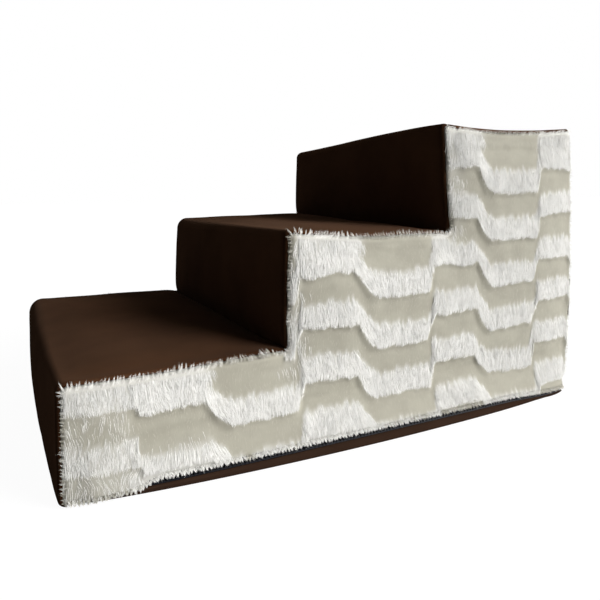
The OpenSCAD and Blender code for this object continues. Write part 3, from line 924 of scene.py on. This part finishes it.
class SidePanel:
    """The short pile of one side, as a height over its outline."""

    def __init__(self, side):
        self.side = side
        self.prefix = "right_" if side < 0 else "left_"
        self.outline = side_outline(side)
        low, high = self.outline.min(0), self.outline.max(0)
        columns, rows = ((high - low) / PLUSH_CELL).astype(int) + 4
        self.corner = low - PLUSH_CELL
        self.xs = self.corner[0] + np.arange(columns) * PLUSH_CELL
        self.zs = self.corner[1] + np.arange(rows) * PLUSH_CELL
        self.cells = np.stack(np.meshgrid(self.xs, self.zs), -1).reshape(-1, 2)
        self.held = inside(self.cells, self.outline)
        distance, self.nearest = nearest_edge(self.cells, self.outline)
        self.table = np.where(self.held, distance, -distance).reshape(rows, columns)

    def distance(self, x, z):
        """Distance from a place inside the outline to its edge."""
        inset = bilinear(self.table, (z - self.corner[1]) / PLUSH_CELL, (x - self.corner[0]) / PLUSH_CELL)
        return np.maximum(inset, 0)

    def height(self, x, z, distance):
        """How far the pile stands out from the plane of the seams."""
        relief = fur_pattern(x, z)[2]
        rim = np.clip(1 - distance / PILE_RIM, 0, 1)
        rounding = np.sqrt(1 - rim**2)
        sunk = 0.25 * bell(REAR - x, 12 * MM) + 0.4 * beside_riser(x, z)
        lumps = 0.35 * MM * noise(x, z, 14, 16, 13)
        groove = 0.3 * MM * bell(parting(x, z), 2.5 * MM)
        thickness = (PILE * 0.75 + relief + lumps - groove) * rounding * (1 - np.minimum(sunk, 0.6))
        return thickness + self.swell(x, z, distance)

    def swell(self, x, z, distance):
        """How far the stuffing pushes the panel out."""
        swell = SIDE_SWELL * smooth(distance / (70 * MM))
        return np.maximum(swell, low_bulge(x, z)) if self.side < 0 else swell

    def lay(self, paths, lifts):
        """Lays the paths of hairs on the pile, each of their places a little above it."""
        x, z = paths[..., 0], paths[..., 2]
        height = self.height(x, z, self.distance(x, z))
        height = np.maximum(height, 0.8 * height[:, :1])
        paths[..., 1] = self.side * (HALF + height + lifts)
        return paths

    def facing(self, count, spread, rng):
        """Directions straight out, each a little off."""
        return unit(np.array([0, self.side, 0.1]) + spread * rng.normal(size=(count, 3)))

    def hem(self, x):
        """Height of the panel's lower edge."""
        return hem_z(x) if self.side < 0 else np.full_like(x, 3 * MM)

    def surface(self, flat, distance):
        """Places on the pile's surface for places in X and Z."""
        x, z = flat.T
        return np.stack([x, self.side * (HALF + self.height(x, z, distance)), z], 1)

    def make_base(self):
        faces = grid_faces(len(self.zs), len(self.xs))
        faces = faces[self.held[faces].any(1)]
        flat = np.where(self.held[:, None], self.cells, self.nearest)
        distance = np.maximum(self.table.ravel(), 0)
        used, faces = np.unique(faces, return_inverse=True)
        faces = faces.reshape(-1, 4)
        points = self.surface(flat[used], distance[used])
        if self.side > 0:
            faces = faces[:, ::-1]
        base = add_mesh(self.prefix + "fur_plush", points, faces, PLUSH)
        set_values(base, "white", fur_pattern(*flat[used].T)[1])
        thicken(base, 2.5 * MM)
        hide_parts(self.prefix + "side_pile")
        back = points.copy()
        back[:, 1] = self.side * (HALF - 1.6 * MM)
        if self.side < 0:
            back[:, 1] -= low_bulge(back[:, 0], back[:, 2])
        ground = add_mesh(self.prefix + "fur_ground", back, faces, GROUND)
        thicken(ground, -1.2 * MM)
        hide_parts(self.prefix + "side_backing")

    def scatter(self, count, rng):
        """Random places inside the outline, with their distance to its edge."""
        low, high = self.outline.min(0), self.outline.max(0)
        flat = low + rng.random((count, 2)) * (high - low)
        distance = self.distance(*flat.T)
        held = distance > 0
        return flat[held], distance[held]


def unit(v):
    return v / np.maximum(np.linalg.norm(v, axis=-1, keepdims=True), 1e-12)


def hanging(lean):
    """Directions down a side, leaning towards the back."""
    return unit(np.stack([lean, 0 * lean, np.full(len(lean), -1.0)], 1))


def hair_paths(roots, start, end, lengths, segments):
    """Places along hairs that leave their roots along start and end up along end."""
    points = [roots]
    for step in np.arange(segments) / (segments - 1):
        heading = unit(start * (1 - step) + end * step)
        points.append(points[-1] + heading * (lengths / segments)[:, None])
    return np.stack(points, 1)


def tuft_paths(roots, aim, outward, rng):
    """Places along hairs that leave their roots outward and curve to where they aim."""
    start = unit(unit(aim) + np.array([0, outward, 0]))
    end = unit(2 * unit(aim) - start)
    length = np.linalg.norm(aim, axis=1) * (0.8 + 0.25 * rng.random(len(aim)))
    return hair_paths(roots, start, end, length, 2)


def strand_faces(segments, count):
    """Quads round every hair, and the triangles that close its ends."""
    quads = []
    for k in range(segments):
        for s in range(3):
            a, b = 3 * k + s, 3 * k + (s + 1) % 3
            quads.append([a, b, b + 3, a + 3])
    last = 3 * segments
    caps = np.array([[2, 1, 0], [last, last + 1, last + 2]])
    first = (np.arange(count) * 3 * (segments + 1))[:, None, None]
    return (np.array(quads)[None] + first).reshape(-1, 4), (caps[None] + first).reshape(-1, 3)


def add_strands(name, points, widths, tone, facing, rng, material):
    """Tapered flat hairs through rows of points, each with its broad side towards facing. They shade as
    if they were round and leaned up and towards the back of the stairs."""
    count, segments = len(points), points.shape[1] - 1
    chord = unit(points[:, -1] - points[:, 0])
    side = unit(np.cross(facing + 0.1 * rng.normal(size=(count, 3)), chord))
    other = np.cross(chord, side)
    t = np.arange(segments + 1) / segments
    radius = widths[:, None] / 2 * (1 - 0.85 * t[None] ** 2)
    ring, shine = [], []
    for across, out in HAIR_SECTION:
        around = (across * side + out * other)[:, None]
        ring.append(points + radius[..., None] * around)
        shine.append(np.broadcast_to(unit(facing[:, None] + HAIR_SHINE + 0.25 * around), points.shape))
    verts = np.stack(ring, 2).reshape(-1, 3)
    shine = np.stack(shine, 2).reshape(-1, 3)
    quads, triangles = strand_faces(segments, count)
    ob = add_mesh(name, verts, quads, material, triangles)
    set_values(ob, "along", np.tile(np.repeat(t, 3), count))
    set_values(ob, "tone", np.repeat(tone, 3 * (segments + 1)))
    ob.data.normals_split_custom_set_from_vertices(shine)


def add_in_parts(name, arrays, rng, material):
    """Strands as several pieces, sorted by the height of their roots, none of them below the floor."""
    np.maximum(arrays[0][..., 2], OFF_FLOOR, out=arrays[0][..., 2])
    order = np.argsort(arrays[0][:, 0, 2], kind="stable")
    parts = np.array_split(order, math.ceil(len(order) / HAIRS_IN_PIECE))
    for number, chosen in enumerate(parts, 1):
        add_strands(f"{name}_{number}", *(values[chosen] for values in arrays), rng, material)


def add_two_tones(name, arrays, chance, rng):
    """Strands of which each is white by its chance, and otherwise cream."""
    white = rng.random(len(chance)) < chance
    add_in_parts(name, tuple(values[white] for values in arrays), rng, HAIR)
    add_in_parts(name + "_cream", tuple(values[~white] for values in arrays), rng, SHORT_HAIR)


def tuft_pull(x, z, width, height, seed):
    """Sideways distance from each place to the middle of its tuft."""
    row = np.floor(z / height)
    shift = lattice_noise(row * 1.37, row * 0 + 0.5, seed) * 3
    cell = np.floor(x / width + shift)
    jitter = lattice_noise(cell * 1.7 + 0.5, row * 2.3 + 0.5, seed + 1) * 0.35
    return (cell + 0.5 + jitter - shift) * width - x


def hair_course(x, z, distance, rng):
    """Which way white hairs leave their roots, and which way they end up."""
    apart = parting(x, z)
    lean = 0.25 * noise(x, z, 15, 30, 23) + 0.55 * on_fall(x)
    lean = lean + 0.3 * np.sign(apart) * np.exp(-np.abs(apart) / (5 * MM))
    # Hair on the high stretches is ruffled
    ruffled = 0.15 + np.clip(0.4 * wave_height(x) / WAVE_RISE, 0, 1)
    ruffle = ruffled * noise(x, z, 9, 8, 61) * smooth(distance / (14 * MM))
    stray = np.where(rng.random(len(x)) < 0.06, 0.25, 0.06) * rng.normal(size=len(x))
    sideways = tuft_pull(x, z, 3.2 * MM, BAND_PITCH / 2, 29) / (16 * MM)
    return hanging(lean + stray + ruffle), hanging(lean * 0.6 + stray + 0.5 * ruffle + sideways)


def hair_tone_and_painted_shade(x, z, distance, rng):
    """How bright white hairs are: in streaks and patches of their own tone, with shade painted in at the
    seams and beside the risers.
    """
    tone = 0.5 + 0.35 * noise(x, z, 1.8, 45, 31) + 0.1 * rng.normal(size=len(x))
    # Patches of tone, and painted shade beside the risers, where the side turns in towards them
    tone = tone + 0.35 * noise(x, z, 16, 9, 63) - 0.6 * beside_riser(x, z)
    # Painted shade along the seams
    return tone - 0.5 * np.exp(-distance / (7 * MM)) * (rng.random(len(x)) < 0.7)


def make_long_pile(panel, rng):
    """White hair that hangs in bands, each lying over the short pile below it."""
    flat, distance = panel.scatter(LONG_HAIRS, rng)
    x, z = flat.T
    at, white = fur_pattern(x, z)[:2]
    banded = (at < BAND_HEIGHT * 1.7) | (x < FIRST_HIGH)
    keep = (rng.random(len(x)) < white) & banded & (distance > 0.6 * MM)
    flat, at, distance = flat[keep], at[keep], distance[keep]
    x, z = flat.T
    count = len(x)
    roots = panel.surface(flat, distance) - np.array([0, panel.side, 0]) * 0.5 * MM
    overhang = (2.2 + 1.6 * noise(x, z, 6, 50, 19) + 1.5 * rng.random(count)) * MM
    length = np.clip(at + overhang, 5 * MM, LONGEST) * (1 - 0.1 * rng.random(count))
    length = np.minimum(length, np.maximum(z - panel.hem(x) + HEM_FRINGE, 3 * MM))
    start, end = hair_course(x, z, distance, rng)
    lifts = np.array([-0.3, 0.15, 0.25, 0.2]) * MM + np.outer(rng.random(count), [0, 0.15, 0.25, 0.35]) * MM
    paths = panel.lay(hair_paths(roots, start, end, length, 3), lifts)
    widths = (0.24 + 0.2 * rng.random(count)) * (1 - 0.25 * at_front(x)) * MM
    # The tone carries painted shade at the seams and beside the risers
    tone = hair_tone_and_painted_shade(x, z, distance, rng)
    facing = panel.facing(count, 0.08, rng)
    add_in_parts(panel.prefix + "long_pile", (paths, widths, tone, facing), rng, HAIR)


def make_short_pile(panel, rng):
    """Short cream hair between the bands, brushed flat."""
    flat, distance = panel.scatter(SHORT_HAIRS, rng)
    x, z = flat.T
    keep = (rng.random(len(x)) > fur_pattern(x, z)[1] * 1.3) & (distance > 0.5 * MM)
    flat, distance = flat[keep], distance[keep]
    x, z = flat.T
    count = len(x)
    roots = panel.surface(flat, distance) + np.array([0, panel.side, 0]) * 0.1 * MM
    brush = 0.5 * noise(x, z, 25, 20, 43)
    start = hanging(brush + 0.15 * rng.normal(size=count))
    end = hanging(brush + 0.15 * rng.normal(size=count))
    length = np.minimum((4 + 2 * rng.random(count)) * MM, np.maximum(z - panel.hem(x), 2 * MM))
    paths = panel.lay(hair_paths(roots, start, end, length, 3), np.array([-0.2, 0, 0.08, 0.05]) * MM)
    widths = (0.2 + 0.12 * rng.random(count)) * MM
    tone = 0.5 + 0.4 * noise(x, z, 3, 9, 47) + 0.1 * rng.normal(size=count)
    facing = panel.facing(count, 0.1, rng)
    add_in_parts(panel.prefix + "short_pile", (paths, widths, tone, facing), rng, SHORT_HAIR)


def make_hem_fringe(panel, rng):
    """Short tufts that hang from the near panel's hem over the zipper."""
    tufts = int((REAR - FRONT - 2 * NEAR_EDGE) / FRINGE_PITCH)
    middles = FRONT + NEAR_EDGE + (np.arange(tufts) + 0.5 + 0.2 * rng.uniform(-1, 1, tufts)) * FRINGE_PITCH
    tuft = np.repeat(np.arange(tufts), 3 * HAIRS_IN_TUFT)
    count = len(tuft)
    x = middles[tuft] + FRINGE_PITCH * 0.65 * rng.uniform(-1, 1, count)
    hem = panel.hem(x) + base_lift(x, np.full_like(x, -HALF))
    z = hem + 2.5 * MM * rng.random(count)
    away = z - hem
    roots = panel.surface(np.stack([x, z], 1), away + 0.8 * MM) + np.array([0, 0.4 * MM, 0])
    drop = HEM_FRINGE * (0.55 + 0.45 * rng.random(tufts)) * np.where(middles < ZIP_START, 0.4, 1)
    tip_z = panel.hem(middles) - drop
    tip_y = -HALF - PILE * 0.8 - low_bulge(middles, tip_z)
    tips = np.stack([middles + 0.25 * drop * rng.normal(size=tufts), tip_y, tip_z], 1)
    aim = tips[tuft] + 0.5 * MM * rng.normal(size=(count, 3)) - roots
    paths = tuft_paths(roots, aim, -0.35, rng)
    widths = (0.26 + 0.16 * rng.random(count)) * MM
    tone = np.clip(0.7 + 0.25 * rng.normal(size=count), 0, 1)
    facing = panel.facing(count, 0.08, rng)
    chance = 0.15 + 0.85 * fur_pattern(x, z)[1]
    add_two_tones("right_hem_fringe", (paths, widths, tone, facing), chance, rng)


class Seam:
    """The closed seam of a panel, by the distance along it."""

    def __init__(self, outline):
        run = np.linalg.norm(np.roll(outline, -1, 0) - outline, axis=1)
        self.reach = np.concatenate([[0], np.cumsum(run)])
        self.length = self.reach[-1]
        self.corners = np.vstack([outline, outline[:1]])

    def at(self, s):
        """Places in X and Z."""
        s = np.mod(s, self.length)
        return np.stack([np.interp(s, self.reach, column) for column in self.corners.T], 1)

    def heading(self, s):
        """Directions along the seam, and out of the panel."""
        along = unit(self.at(s + 1.5 * MM) - self.at(s - 1.5 * MM))
        return along, np.stack([-along[:, 1], along[:, 0]], 1)


def tuft_tips(panel, seam, middles, rng):
    """Where the tufts of a seam end: furthest out on the treads, least at the back."""
    centre = seam.at(middles)
    tangent, normal = seam.heading(middles)
    uneven = 0.6 + 0.35 * noise(middles, 0 * middles, 14, 1, 53) + 0.35 * rng.random(len(middles))
    stand = (1.3 + 5.7 * smooth(normal[:, 1]) + 1.7 * smooth(-normal[:, 0])) * MM * uneven
    stand = np.where(centre[:, 1] > TOP - 0.5 * RISER, 0.5 * stand, stand)
    stand = np.where(normal[:, 1] < -0.5, 1.5 * MM, stand)
    stand = np.where(normal[:, 0] > 0.6, 0.8 * MM, stand)
    slant = 0.95 * noise(middles, 0 * middles, 45, 1, 59) + 0.1 * rng.normal(size=len(middles))
    slant = np.where(normal[:, 1] < -0.5, 0.3 * slant, slant)
    tip_x, tip_z = (centre + normal * stand[:, None] + tangent * (stand * slant)[:, None]).T
    at_seam = panel.surface(centre, np.full(len(middles), 1.5 * MM))[:, 1]
    return np.stack([tip_x, at_seam + panel.side * (0.5 + 2 * rng.random(len(middles))) * MM, tip_z], 1)


def make_edge_pile(panel, rng):
    """Pointed tufts that stand past the seams, and a short fringe over the zipper."""
    seam = Seam(panel.outline)
    tufts = int(seam.length / TUFT_PITCH)
    middles = (np.arange(tufts) + 0.5 + 0.35 * rng.uniform(-1, 1, tufts)) * TUFT_PITCH
    tuft = np.repeat(np.arange(tufts), HAIRS_IN_TUFT)
    count = len(tuft)
    s = middles[tuft] + TUFT_PITCH * 0.5 * rng.uniform(-1, 1, count)
    outward = seam.heading(s)[1]
    inset = 3.5 * MM * rng.random(count)
    root_flat = seam.at(s) - outward * inset[:, None]
    roots = panel.surface(root_flat, inset)
    roots[:, 1] -= panel.side * 0.5 * MM
    tips = tuft_tips(panel, seam, middles, rng)
    loose = np.where(rng.random(count) < 0.08, 1.2, 0.22)[:, None] * MM
    aim = tips[tuft] + loose * rng.normal(size=(count, 3)) - roots
    paths = tuft_paths(roots, aim, panel.side * 0.7, rng)
    widths = (0.2 + 0.14 * rng.random(count)) * MM
    tone = np.clip(0.65 + 0.3 * rng.normal(size=count), 0, 1)
    facing = np.stack([0.4 * outward[:, 0], np.full(count, panel.side * 1.0), 0.4 * outward[:, 1]], 1)
    facing = unit(facing + 0.1 * rng.normal(size=(count, 3)))
    white = fur_pattern(*root_flat.T)[1]
    on_top = seam.heading(middles)[1][tuft, 1] > 0.5
    chance = np.where(on_top, 0.55 + 0.45 * white, 0.15 + 0.85 * white)
    add_two_tones(panel.prefix + "edge_pile", (paths, widths, tone, facing), chance, rng)


def make_fur():
    for side, seed in ((-1, 101), (1, 202)):
        rng = np.random.default_rng(seed)
        panel = SidePanel(side)
        panel.make_base()
        make_long_pile(panel, rng)
        make_short_pile(panel, rng)
        make_edge_pile(panel, rng)
        if side < 0:
            make_hem_fringe(panel, rng)


# Foam


def add_copy(prefix, name, me, places, material):
    """A piece that stands for a node, from a copy of the node's mesh and its new places."""
    me.vertices.foreach_set("co", places.ravel())
    me.materials.clear()
    me.materials.append(material)
    me.polygons.foreach_set("material_index", np.zeros(len(me.polygons), int))
    ob = placed(prefix + name, me)
    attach(ob, "stairs")
    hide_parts(name)
    return ob


def make_foam():
    """Three glued blocks, cut with soft edges, a little inside the cover."""
    for name in ("foam_base_block", "foam_middle_block", "foam_top_block"):
        low, high = (np.array(corner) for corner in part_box(name))
        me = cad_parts[name].data.copy()
        points = places_of(me)
        points[:, :2] += FOAM_SLACK * (1 - 2 * (points - low) / (high - low))[:, :2]
        points[:, 2] = np.maximum(points[:, 2] - FOAM_SLACK, 3 * MM)
        ob = add_copy("cut_", name, me, points, FOAM)
        soft = ob.modifiers.new("edges", "BEVEL")
        soft.width = 6 * MM
        soft.segments = 3
        soft.angle_limit = math.radians(50)


# Zipper and trim, which follow the soft cover


def islands(me):
    """A number for each vertex that is the same all over one loose part of a mesh."""
    ends = np.empty(len(me.edges) * 2, int)
    me.edges.foreach_get("vertices", ends)
    a, b = ends.reshape(-1, 2).T
    label = np.arange(len(me.vertices))
    while True:
        lowest = label.copy()
        np.minimum.at(lowest, a, label[b])
        np.minimum.at(lowest, b, label[a])
        lowest = lowest[lowest]
        if (lowest == label).all():
            return label
        label = lowest


def cut_at_corner(me):
    """Cuts the back run across beside the rear near corner, so that it bends there alone."""
    bm = bmesh.new()
    bm.from_mesh(me)
    for y in -HALF + DIP_FROM + np.linspace(0.1, 1, 6) * DIP_TURN:
        everything = bm.verts[:] + bm.edges[:] + bm.faces[:]
        bmesh.ops.bisect_plane(bm, geom=everything, plane_co=(0, y, 0), plane_no=(0, 1, 0))
    bm.to_mesh(me)
    bm.free()


def carried(name, material, shift, rigid=True):
    """A copy of a node whose loose parts have moved with the soft cover."""
    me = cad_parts[name].data.copy()
    if not rigid:
        cut_at_corner(me)
    points = places_of(me)
    if rigid:
        part = np.unique(islands(me), return_inverse=True)[1]
        count = np.bincount(part)
        middles = np.stack([np.bincount(part, points[:, k]) / count for k in range(3)], 1)
        points = points + shift(middles)[part]
    else:
        points = points + shift(points)
        points[:, 2] = np.maximum(points[:, 2], OFF_FLOOR)
    add_copy("soft_", name, me, points, material)


def with_the_side(points):
    """Shift of the zipper's near run, which rides on the bulge of the near side."""
    x, y, z = points.T
    near = np.clip((-HALF + 8 * MM - y) / (2 * MM), 0, 1)
    shift = np.zeros_like(points)
    shift[:, 1] = -near * low_bulge(x, z)
    shift[:, 2] = near * 0.6 * base_lift(x, y) - zip_dip(x, y)
    return shift


def with_the_skin(points):
    """Shift of the nearest place on the soft cover."""
    flat = np.concatenate([flat for flat, soft in SKIN])
    moved = np.concatenate([soft - flat for flat, soft in SKIN])
    tree = tree_of(flat)
    return np.array([moved[tree.find(place)[1]] for place in points])


def make_trim():
    for name in ("zipper_upper_tape", "zipper_lower_tape"):
        carried(name, TAPE, with_the_side, rigid=False)
    for name in ("zipper_upper_teeth", "zipper_lower_teeth", "zipper_start_stop", "zipper_end_stops"):
        carried(name, COIL, with_the_side, rigid=False)
    for name in ("crease_stitches", "back_seam_stitches", "base_seam_stitches", "zipper_stitches",
                 "tab_stitches"):
        carried(name, THREAD, with_the_skin)
    carried("seam_tab", WEBBING, with_the_skin)
    for name in ("zipper_slider", "zipper_pull"):
        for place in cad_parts[name].material_slots:
            place.material = METAL


# Studio


KEY = 4.1
KEY_FROM = (1.0, -1.0, 0.55)
FILL = 0.5
FILL_FROM = (0.1, 1.0, 0.45)
SKY = 0.035
FLOOR_SIZE = 20


def make_studio():
    """A pale floor, white to the eye, under a wide soft sun from the near side, a weak one from the far
    side and a dim sky."""
    look = new_look("studio_floor")
    look.fill(look.bsdf, {"Base Color": (0.28, 0.28, 0.28, 1), "Roughness": 0.9, "Specular IOR Level": 0.0})
    glow = look.add("Emission", {"Strength": 1.6}).outputs["Emission"]
    share = look.add("Math", {0: seen_directly(look), 1: 0.6}, operation="MULTIPLY").outputs["Value"]
    mix = look.add("MixShader", {"Fac": share, 1: look.bsdf.outputs["BSDF"], 2: glow}).outputs["Shader"]
    look.fill(look.tree.nodes["Material Output"], {"Surface": mix})
    me = bpy.data.meshes.new("studio_floor")
    corners = [(x * FLOOR_SIZE, y * FLOOR_SIZE, 0) for x, y in ((-1, -1), (1, -1), (1, 1), (-1, 1))]
    me.from_pydata(corners, [], [(0, 1, 2, 3)])
    me.materials.append(look.owner)
    floor = placed("studio_floor", me)
    floor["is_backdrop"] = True

    world = bpy.data.worlds.new("studio_world")
    bpy.context.scene.world = world
    sky = Look(world)
    strength = sky.add("Mix", {"Factor": seen_directly(sky), "A": SKY, "B": 1.0}, data_type="FLOAT")
    sky.fill(sky.tree.nodes["Background"], {"Color": (1, 1, 1, 1), "Strength": strength.outputs["Result"]})

    add_sun("key", KEY, KEY_FROM, 36)
    add_sun("fill", FILL, FILL_FROM, 60)


def add_sun(name, energy, place, angle):
    data = bpy.data.lights.new(name, "SUN")
    data.energy = energy
    data.angle = math.radians(angle)
    sun = placed(name, data)
    sun.location = place
    sun.rotation_euler = (-Vector(place)).to_track_quat("-Z", "Y").to_euler()


def seen_directly(look):
    """1 for camera, glossy and transmitted rays."""
    path = look.add("LightPath", {}).outputs
    seen = path["Is Camera Ray"]
    for kind in ("Is Glossy Ray", "Is Transmission Ray"):
        seen = look.add("Math", {0: seen, 1: path[kind]}, operation="MAXIMUM").outputs["Value"]
    return seen


def make_camera():
    """The photograph's camera, close to the near front corner and low."""
    eye = Vector((-0.3334, -0.6562, 0.2543))
    target = Vector((0.0225, 0.015, 0.1533))
    roll = math.radians(-0.59)
    data = bpy.data.cameras.new("camera")
    data.lens = 34.24
    data.sensor_width = 36
    data.shift_y = -0.05
    camera = placed("camera", data)
    facing = (target - eye).to_track_quat("-Z", "Y").to_matrix().to_4x4()
    camera.matrix_world = Matrix.Translation(eye) @ facing @ Matrix.Rotation(roll, 4, "Z")
    bpy.context.scene.camera = camera


make_camera()
make_studio()
press()
make_step_covers()
make_back_panel()
make_base_panel()
make_fur()
make_foam()
make_trim()
bpy.context.scene.view_settings.view_transform = "Standard"

VISUAL_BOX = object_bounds()
{"cad": [list(corner) for corner in CAD_BOX], "visual": [list(corner) for corner in VISUAL_BOX]}
